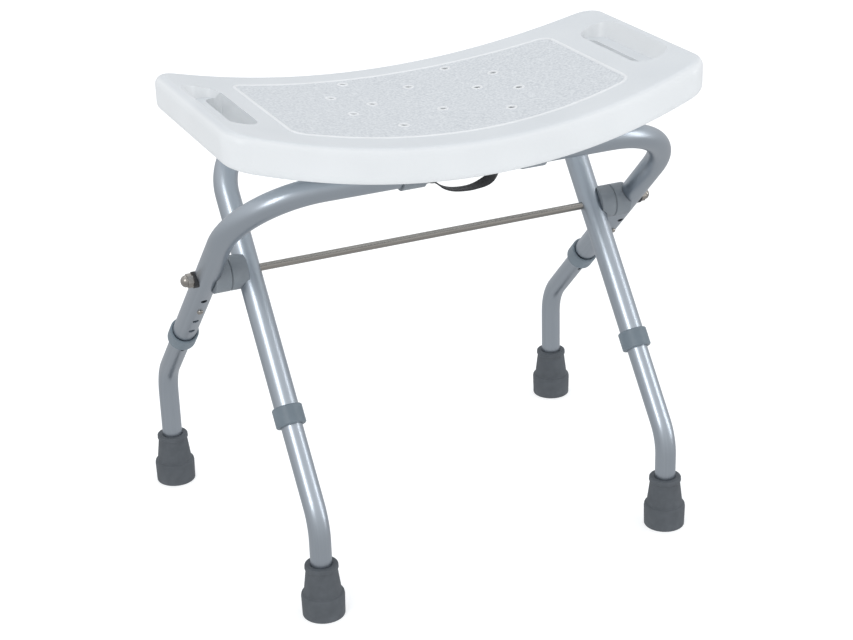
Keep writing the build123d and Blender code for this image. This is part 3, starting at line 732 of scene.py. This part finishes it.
@dataclass
class SeatDetail:
    """What stands on the seat's top: the bead round the mat and a rim at each drain."""

    shop: Workshop
    seat: BlowMouldedPolyethylene = field(default_factory=lambda: FINISHES[Slot.SEAT])
    bead_radius: float = 2.4
    bead_sink: float = 1.3
    rim_path_radius: float = 4.8
    rim_radius: float = 1.6
    rim_sink: float = 0.5
    drain_middle: float = -16.045
    drain_rows: tuple[tuple[float, float], ...] = (
        (0.0, 43.0), (59.0, 0.0), (59.0, 79.0), (92.0, 30.0),
    )
    side_steps: int = 60

    def mat_outline(self) -> list[Vector]:
        """Walk round the mat's edge.

        Returns:
            Points in mm, anticlockwise, on a level plane.
        """
        seat = self.seat
        corner, half = seat.mat_corner, seat.mat_half_length

        def edge(x: float) -> float:
            """Give the mat's half depth at a place along it."""
            return seat.mat_half_depth - seat.mat_bow * (x / half) ** 2

        reach = half - corner
        run = [-reach + 2 * reach * i / self.side_steps for i in range(self.side_steps + 1)]
        turn_steps = 10
        end_depth = edge(reach) - corner
        turns = [math.pi / 2 * i / turn_steps for i in range(1, turn_steps)]
        front = [Vector((x, -edge(x))) for x in run]
        first = [
            Vector((reach + corner * math.sin(a), -end_depth - corner * math.cos(a))) for a in turns
        ]
        second = [
            Vector((reach + corner * math.cos(a), end_depth + corner * math.sin(a))) for a in turns
        ]
        back = [Vector((-p.x, -p.y)) for p in front]
        third = [Vector((-p.x, -p.y)) for p in first]
        fourth = [Vector((-p.x, -p.y)) for p in second]
        sides = [Vector((half, y)) for y in (-end_depth, 0.0, end_depth)]
        far_sides = [Vector((-p.x, -p.y)) for p in sides]
        return [*front, *first, *sides, *second, *back, *third, *far_sides, *fourth]

    def add_bead(self) -> bpy.types.Object:
        """Lay the raised bead round the mat.

        Returns:
            The finished piece.
        """
        seat = self.seat
        height = (seat.seat_middle_height - self.bead_sink) * MM
        points = [(p.x * MM, (p.y + seat.mat_middle) * MM, height) for p in self.mat_outline()]
        mesh = bpy.data.meshes.new("mat_outline")
        edges = [(i, (i + 1) % len(points)) for i in range(len(points))]
        mesh.from_pydata(points, edges, [])
        kit = TreeKit("Mat bead", {
            "Bead radius": self.bead_radius * MM, "Dish radius": seat.dish_radius * MM,
            "Point spacing": 3.0 * MM,
        })
        curve = add_node(
            kit.tree, "GeometryNodeMeshToCurve", inputs={"Mesh": kit.start["Geometry"]}
        ).outputs[0]
        even = add_node(
            kit.tree, "GeometryNodeResampleCurve", {"mode": "LENGTH"},
            {"Curve": curve, "Length": kit.start["Point spacing"]},
        ).outputs[0]
        bead = kit.round_bar(kit.drape(even), kit.start["Bead radius"], 14)
        piece = kit.run(mesh, "seat_mat_bead", self.shop.rib, bead)
        return join_body(piece, "seat", Slot.SEAT)

    def add_drain_rims(self) -> bpy.types.Object:
        """Stand a small rolled rim at each drain.

        Returns:
            The finished piece.
        """
        seat = self.seat
        height = (seat.seat_middle_height - self.rim_sink) * MM
        places = {
            (sx * x, self.drain_middle + sy * y)
            for x, y in self.drain_rows for sx in (-1, 1) for sy in (-1, 1)
        }
        mesh = bpy.data.meshes.new("drain_places")
        mesh.from_pydata([(x * MM, y * MM, height) for x, y in sorted(places)], [], [])
        kit = TreeKit("Drain rims", {
            "Rim path radius": self.rim_path_radius * MM, "Rim radius": self.rim_radius * MM,
            "Dish radius": seat.dish_radius * MM,
        })
        path = add_node(
            kit.tree, "GeometryNodeCurvePrimitiveCircle",
            inputs={"Resolution": 32, "Radius": kit.start["Rim path radius"]},
        ).outputs[0]
        ring = kit.round_bar(path, kit.start["Rim radius"], 12)
        draped = kit.drape(kit.start["Geometry"])
        place = add_node(kit.tree, "GeometryNodeInputPosition")
        across = add_node(kit.tree, SPLIT, inputs=(place,)).outputs[0]
        slope = (across, kit.start["Dish radius"])
        share = add_node(kit.tree, MATH, {"operation": "DIVIDE"}, slope)
        lean = add_node(kit.tree, MATH, {"operation": "MULTIPLY"}, (share, -1.0))
        upward = add_node(kit.tree, JOIN, inputs={0: lean, 2: 1.0})
        turned = add_node(
            kit.tree, "FunctionNodeAlignRotationToVector", {"axis": "Z"}, {"Vector": upward}
        ).outputs[0]
        rims = add_node(
            kit.tree, "GeometryNodeInstanceOnPoints",
            inputs={"Points": draped, "Instance": ring, "Rotation": turned},
        ).outputs[0]
        piece = kit.run(mesh, "seat_drain_rims", self.shop.rib, rims)
        return join_body(piece, "seat", Slot.SEAT)


def rounded(
    corners: Sequence[tuple[float, float, float]], steps: int = 6
) -> list[tuple[float, float]]:
    """Round the corners of an open outline.

    Args:
        corners: Radius from the axis, height, and corner radius, in mm.
        steps: Pieces in each rounded corner.

    Returns:
        Outline points in mm.
    """
    points: list[tuple[float, float]] = []
    for i, (x, y, r) in enumerate(corners):
        here = Vector((x, y))
        if not r or i in (0, len(corners) - 1):
            points.append((x, y))
            continue
        before = (Vector(corners[i - 1][:2]) - here).normalized()
        after = (Vector(corners[i + 1][:2]) - here).normalized()
        half = before.angle(after) / 2
        reach = r / math.tan(half)
        start, end = here + before * reach, here + after * reach
        centre = here + (before + after).normalized() * (r / math.sin(half))
        first, last = start - centre, end - centre
        sweep = first.angle_signed(last)
        for k in range(steps + 1):
            arm = first.copy()
            arm.rotate(Matrix.Rotation(-sweep * k / steps, 2))
            points.append(tuple(centre + arm))
    return points


@dataclass
class RubberFoot:
    """A two-stage rubber foot with a rolled lip at its top and tread rings below."""

    corner: Corner
    shop: Workshop
    height: float = 58.0
    base_radius: float = 22.3
    step_height: float = 25.0
    skirt_radius: float = 19.4
    neck_radius: float = 16.2
    lip_radius: float = 17.3
    bore_radius: float = 11.15
    floor: float = 9.0
    segments: int = 72

    def outline(self) -> list[tuple[float, float]]:
        """Trace the foot's section from the axis below to the axis inside the bore.

        Returns:
            Outline points in mm.
        """
        top, lip = self.height, 5.0
        corners = [
            (0.0, 1.6, 0.0), (6.0, 1.6, 0.4), (6.6, 0.0, 0.4), (9.4, 0.0, 0.4), (10.0, 1.6, 0.4),
            (12.4, 1.6, 0.4), (13.0, 0.0, 0.4), (15.6, 0.0, 0.4), (16.2, 1.6, 0.4),
            (18.0, 1.6, 0.4), (18.6, 0.0, 0.4), (self.base_radius - 0.5, 0.0, 1.2),
            (self.base_radius, self.step_height - 3.0, 0.8),
            (self.base_radius - 0.5, self.step_height, 1.8),
            (self.skirt_radius, self.step_height + 1.2, 1.4),
            (self.neck_radius, top - lip - 1.0, 1.2),
            (self.lip_radius, top - lip + 0.6, 0.9), (self.lip_radius - 0.2, top, 1.5),
            (self.bore_radius, top, 0.8), (self.bore_radius, self.floor, 0.0),
            (0.0, self.floor, 0.0),
        ]
        return rounded(corners)

    def build(self) -> bpy.types.Object:
        """Turn the section round the leg's axis.

        Returns:
            The finished piece.
        """
        node = f"rubber_foot_{self.corner.value}"
        low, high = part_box(node)
        middle = (low + high) / 2
        shape = bmesh.new()
        rings: list[list[bmesh.types.BMVert]] = []
        for r, z in self.outline():
            count = self.segments if r > 0 else 1
            ring = []
            for k in range(count):
                angle = 2 * math.pi * k / count
                across = middle.x + r * MM * math.cos(angle)
                along = middle.y + r * MM * math.sin(angle)
                ring.append(shape.verts.new((across, along, z * MM)))
            rings.append(ring)
        for lower, upper in zip(rings, rings[1:]):
            for k in range(self.segments):
                after = (k + 1) % self.segments
                if len(lower) == 1:
                    face = (lower[0], upper[after], upper[k])
                elif len(upper) == 1:
                    face = (lower[k], lower[after], upper[0])
                else:
                    face = (lower[k], lower[after], upper[after], upper[k])
                shape.faces.new(face).smooth = True
        bmesh.ops.recalc_face_normals(shape, faces=shape.faces)
        mesh = bpy.data.meshes.new(f"foot_{self.corner.value}")
        shape.to_mesh(mesh)
        shape.free()
        piece = link_new(f"foot_{self.corner.value}", mesh)
        self.shop.dress(piece, Slot.FOOT)
        return join_body(piece, f"leg_{self.corner.value}", Slot.FOOT, node)


@dataclass
class PullStrap:
    """A webbing loop under the front edge, flat at its two tabs and twisted between them."""

    shop: Workshop
    width: float = 10.0
    thickness: float = 1.5
    path: tuple[tuple[float, float], ...] = (
        (-64.0, 433.6), (-59.0, 433.2), (-54.0, 431.0), (-46.0, 424.5), (-35.0, 420.4),
        (-20.0, 419.0), (-8.0, 420.4), (2.0, 423.6), (9.0, 428.0), (16.0, 431.4),
        (24.0, 432.6), (33.0, 432.6), (42.0, 432.6),
    )
    twist: tuple[float, ...] = (0, 0, 0, 2, 5, 10, 24, 56, 96, 150, 180, 180, 180)
    steps_per_run: int = 8

    def centre_line(self) -> list[tuple[Vector, float]]:
        """Run a smooth line through the path.

        Returns:
            Place in mm and twist in radians at each step.
        """
        knots = [Vector((x, z, t)) for (x, z), t in zip(self.path, self.twist)]
        line = []
        for i in range(len(knots) - 1):
            a, b = knots[max(i - 1, 0)], knots[i]
            c, d = knots[i + 1], knots[min(i + 2, len(knots) - 1)]
            for k in range(self.steps_per_run + (i == len(knots) - 2)):
                s = k / self.steps_per_run
                p = 0.5 * (
                    2 * b + (c - a) * s + (2 * a - 5 * b + 4 * c - d) * s ** 2
                    + (3 * b - a - 3 * c + d) * s ** 3
                )
                line.append((Vector((p.x, 0.0, p.y)), math.radians(p.z)))
        return line

    def section(self) -> list[tuple[float, float]]:
        """Give the webbing's section with rounded edges.

        Returns:
            Points in mm, across and through.
        """
        half, thick = self.width / 2, self.thickness / 2
        upper = [(-half, thick * 0.4), (-half + 0.5, thick), (-half * 0.5, thick), (0.0, thick),
                 (half * 0.5, thick), (half - 0.5, thick), (half, thick * 0.4)]
        return upper + [(x, -y) for x, y in reversed(upper)]

    def build(self) -> bpy.types.Object:
        """Sweep the section along the line, with a map in metres for the weave.

        Returns:
            The finished piece.
        """
        low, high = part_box("pull_strap")
        middle = (low.y + high.y) / 2
        line, section = self.centre_line(), self.section()
        shape = bmesh.new()
        weave = shape.loops.layers.uv.new("Weave")
        along, rings, runs = 0.0, [], []
        for i, (place, turn) in enumerate(line):
            back, ahead = line[max(i - 1, 0)][0], line[min(i + 1, len(line) - 1)][0]
            tangent = (ahead - back).normalized()
            level = Vector((0.0, 1.0, 0.0))
            across = Matrix.Rotation(turn, 3, tangent) @ level
            through = tangent.cross(across)
            along += (place - line[i - 1][0]).length * MM if i else 0.0
            ring = [
                shape.verts.new((place + across * x + through * y) * MM + Vector((0, middle, 0)))
                for x, y in section
            ]
            rings.append(ring)
            runs.append(along)
        count = len(section)
        for i in range(len(rings) - 1):
            for k in range(count):
                after = (k + 1) % count
                near, far = rings[i], rings[i + 1]
                face = shape.faces.new((near[k], near[after], far[after], far[k]))
                face.smooth = True
                places = ((k, i), (after, i), (after, i + 1), (k, i + 1))
                for loop, (across_at, along_at) in zip(face.loops, places):
                    loop[weave].uv = (section[across_at][0] * MM, runs[along_at])
        for ring in (rings[0], rings[-1]):
            shape.faces.new(ring)
        bmesh.ops.recalc_face_normals(shape, faces=shape.faces)
        mesh = bpy.data.meshes.new("webbing_pull_strap")
        shape.to_mesh(mesh)
        shape.free()
        piece = link_new("webbing_pull_strap", mesh)
        self.shop.dress(piece, Slot.STRAP)
        return join_body(piece, "seat", Slot.STRAP, "pull_strap")


@dataclass
class SoftBox:
    """One studio softbox."""

    name: str
    place: tuple[float, float, float]
    width: float
    depth: float
    power: float
    colour: str = "#FFFFFF"

    def build(self, aim: Vector) -> None:
        """Hang the softbox so that it faces a point.

        Args:
            aim: The point, in metres.
        """
        data = bpy.data.lights.new(self.name, "AREA")
        data.shape, data.size, data.size_y = "RECTANGLE", self.width, self.depth
        data.energy, data.color = self.power, linear(self.colour)[:3]
        lamp = bpy.data.objects.new(self.name, data)
        bpy.context.scene.collection.objects.link(lamp)
        place = Vector(self.place)
        lamp.matrix_world = Matrix.LocRotScale(place, (aim - place).to_track_quat("-Z", "Y"), None)


@dataclass
class Studio:
    """Pale floor, soft light and the camera."""

    azimuth: float = -23.856
    elevation: float = 23.670
    roll: float = -1.751
    distance: float = 2.0754
    lens: float = 80.93
    sensor: float = 36.0
    target: tuple[float, float, float] = (-0.0006, -0.0028, 0.2166)
    light_above: float = 0.95
    light_below: float = 0.60
    room_colour: str = "#F9FAFC"
    floor_colour: str = "#C4C6C7"
    floor_glow: float = 0.58
    floor_half: float = 8.0
    boxes: tuple[SoftBox, ...] = (
        SoftBox("key_left", (-2.2, -1.8, 2.4), 0.9, 1.8, 24.0),
        SoftBox("fill_right", (2.6, -1.6, 1.2), 0.8, 2.0, 15.0),
        SoftBox("top", (0.3, 0.7, 2.8), 2.2, 0.7, 10.0),
    )

    def add_floor(self) -> None:
        """Lay a pale sheet that glows a little, as a back-lit sweep does."""
        half = self.floor_half
        mesh = bpy.data.meshes.new("floor")
        corners = [(-half, -half, 0), (half, -half, 0), (half, half, 0), (-half, half, 0)]
        mesh.from_pydata(corners, [], [(0, 1, 2, 3)])
        floor = link_new("floor", mesh)
        material = bpy.data.materials.new("Floor_pale_sweep")
        material.use_nodes = True
        shader = material.node_tree.nodes["Principled BSDF"]
        shader.inputs["Base Color"].default_value = linear(self.floor_colour)
        shader.inputs["Roughness"].default_value = 0.9
        shader.inputs["Specular IOR Level"].default_value = 0.0
        shader.inputs["Emission Color"].default_value = linear("#FFFFFF")
        shader.inputs["Emission Strength"].default_value = self.floor_glow
        mesh.materials.append(material)
        floor.visible_glossy = False

    def add_light(self) -> None:
        """Light the room evenly and hang the softboxes."""
        world = bpy.data.worlds.new("room")
        world.use_nodes = True
        tree = world.node_tree
        sky = tree.nodes["Background"]
        sky.inputs["Color"].default_value = linear(self.room_colour)
        direction = add_node(tree, COORDINATES).outputs["Generated"]
        height = add_node(tree, SPLIT, inputs=(direction,)).outputs[2]
        fall = {"Value": height, "From Min": -0.4, "From Max": 0.8,
                "To Min": self.light_below, "To Max": self.light_above}
        level = add_node(tree, MAP_RANGE, {"interpolation_type": "SMOOTHSTEP"}, fall)
        tree.links.new(level.outputs[0], sky.inputs["Strength"])
        bpy.context.scene.world = world
        aim = Vector(self.target)
        for box in self.boxes:
            box.build(aim)
            LOG.info("%s: %.0f W", box.name, box.power)

    def add_camera(self) -> None:
        """Stand the camera at the viewing angle, with its small roll."""
        turn, rise = math.radians(self.azimuth), math.radians(self.elevation)
        back = Vector((
            math.sin(turn) * math.cos(rise), -math.cos(turn) * math.cos(rise), math.sin(rise)
        ))
        right = (-back).cross(Vector((0, 0, 1))).normalized()
        up = right.cross(-back)
        lean = math.radians(self.roll)
        across = right * math.cos(lean) + up * math.sin(lean)
        upward = up * math.cos(lean) - right * math.sin(lean)
        data = bpy.data.cameras.new("camera")
        data.lens, data.sensor_width = self.lens, self.sensor
        camera = bpy.data.objects.new("camera", data)
        bpy.context.scene.collection.objects.link(camera)
        turned = Matrix((across, upward, back)).transposed().to_4x4()
        stand = Vector(self.target) + back * self.distance
        camera.matrix_world = Matrix.Translation(stand) @ turned
        bpy.context.scene.camera = camera

    def build(self) -> None:
        """Set up the whole studio."""
        bpy.context.scene.view_settings.view_transform = "Standard"
        self.add_floor()
        self.add_light()
        self.add_camera()


def main() -> None:
    """Build the stool's looks, piece by piece."""
    logging.basicConfig(level=logging.INFO, format="%(name)s %(message)s")
    Studio().build()
    shop = Workshop()
    shop.dress_nodes()
    detail = SeatDetail(shop)
    detail.add_bead()
    detail.add_drain_rims()
    for corner in Corner:
        RubberFoot(corner, shop).build()
    PullStrap(shop).build()


if __name__ == "__main__":
    main()
